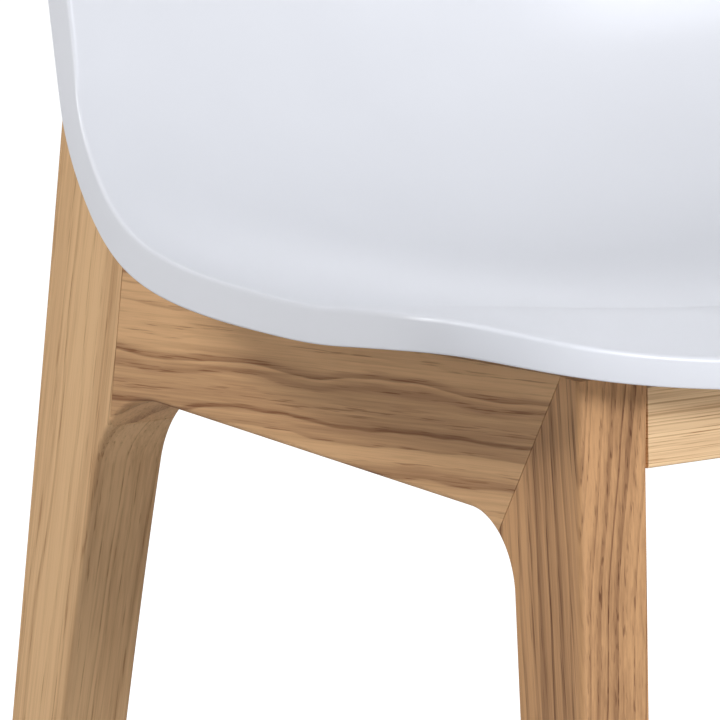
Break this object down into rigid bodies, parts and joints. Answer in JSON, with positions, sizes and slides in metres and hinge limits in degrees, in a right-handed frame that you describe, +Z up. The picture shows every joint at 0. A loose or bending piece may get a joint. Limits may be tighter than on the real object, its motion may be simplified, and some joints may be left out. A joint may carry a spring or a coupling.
{
  "type": "dining chair",
  "caption": "Dining chair with a one-piece moulded white seat shell on a solid ash frame with mitred side frames.",
  "frame": {"origin": "on the floor, under the middle of the chair's width and depth", "axes": "+X to the right of someone who faces the chair's front, +Y towards the back, so the sitter faces -Y, +Z up"},
  "size_m": [0.4868, 0.4946, 0.8256],
  "materials": {
    "shell_white": "satin-gloss moulded white polypropylene",
    "ash": "clear matt lacquer on solid ash, open straight and cathedral grain",
    "beech": "unfinished beech, planed",
    "zinc_steel": "bright zinc-plated steel",
    "brass": "turned brass",
    "black_rubber": "black rubber",
    "nylon": "matt natural nylon"
  },
  "bodies": {
    "root": {"seat_shell": "shell_white", "front_leg_left": "ash", "front_leg_right": "ash", "rear_leg_left": "ash", "rear_leg_right": "ash", "side_rail_left": "ash", "side_rail_right": "ash", "front_rail": "ash", "rear_rail": "ash", "corner_block_front_left": "beech", "block_screw_front_left_a": "zinc_steel", "block_screw_front_left_b": "zinc_steel", "seat_screw_front_left": "zinc_steel", "seat_washer_front_left": "zinc_steel", "seat_pad_front_left": "black_rubber", "threaded_insert_front_left": "brass", "glide_front_left": "nylon", "front_rail_dowel_left_a": "beech", "front_rail_dowel_left_b": "beech", "corner_block_front_right": "beech", "block_screw_front_right_a": "zinc_steel", "block_screw_front_right_b": "zinc_steel", "seat_screw_front_right": "zinc_steel", "seat_washer_front_right": "zinc_steel", "seat_pad_front_right": "black_rubber", "threaded_insert_front_right": "brass", "glide_front_right": "nylon", "front_rail_dowel_right_a": "beech", "front_rail_dowel_right_b": "beech", "corner_block_rear_left": "beech", "block_screw_rear_left_a": "zinc_steel", "block_screw_rear_left_b": "zinc_steel", "seat_screw_rear_left": "zinc_steel", "seat_washer_rear_left": "zinc_steel", "seat_pad_rear_left": "black_rubber", "threaded_insert_rear_left": "brass", "glide_rear_left": "nylon", "rear_rail_dowel_left_a": "beech", "rear_rail_dowel_left_b": "beech", "corner_block_rear_right": "beech", "block_screw_rear_right_a": "zinc_steel", "block_screw_rear_right_b": "zinc_steel", "seat_screw_rear_right": "zinc_steel", "seat_washer_rear_right": "zinc_steel", "seat_pad_rear_right": "black_rubber", "threaded_insert_rear_right": "brass", "glide_rear_right": "nylon", "rear_rail_dowel_right_a": "beech", "rear_rail_dowel_right_b": "beech", "side_rail_dowel_left_a": "beech", "side_rail_dowel_left_b": "beech", "mitre_tenon_left": "beech", "side_rail_dowel_right_a": "beech", "side_rail_dowel_right_b": "beech", "mitre_tenon_right": "beech"}
  },
  "joints": []
}
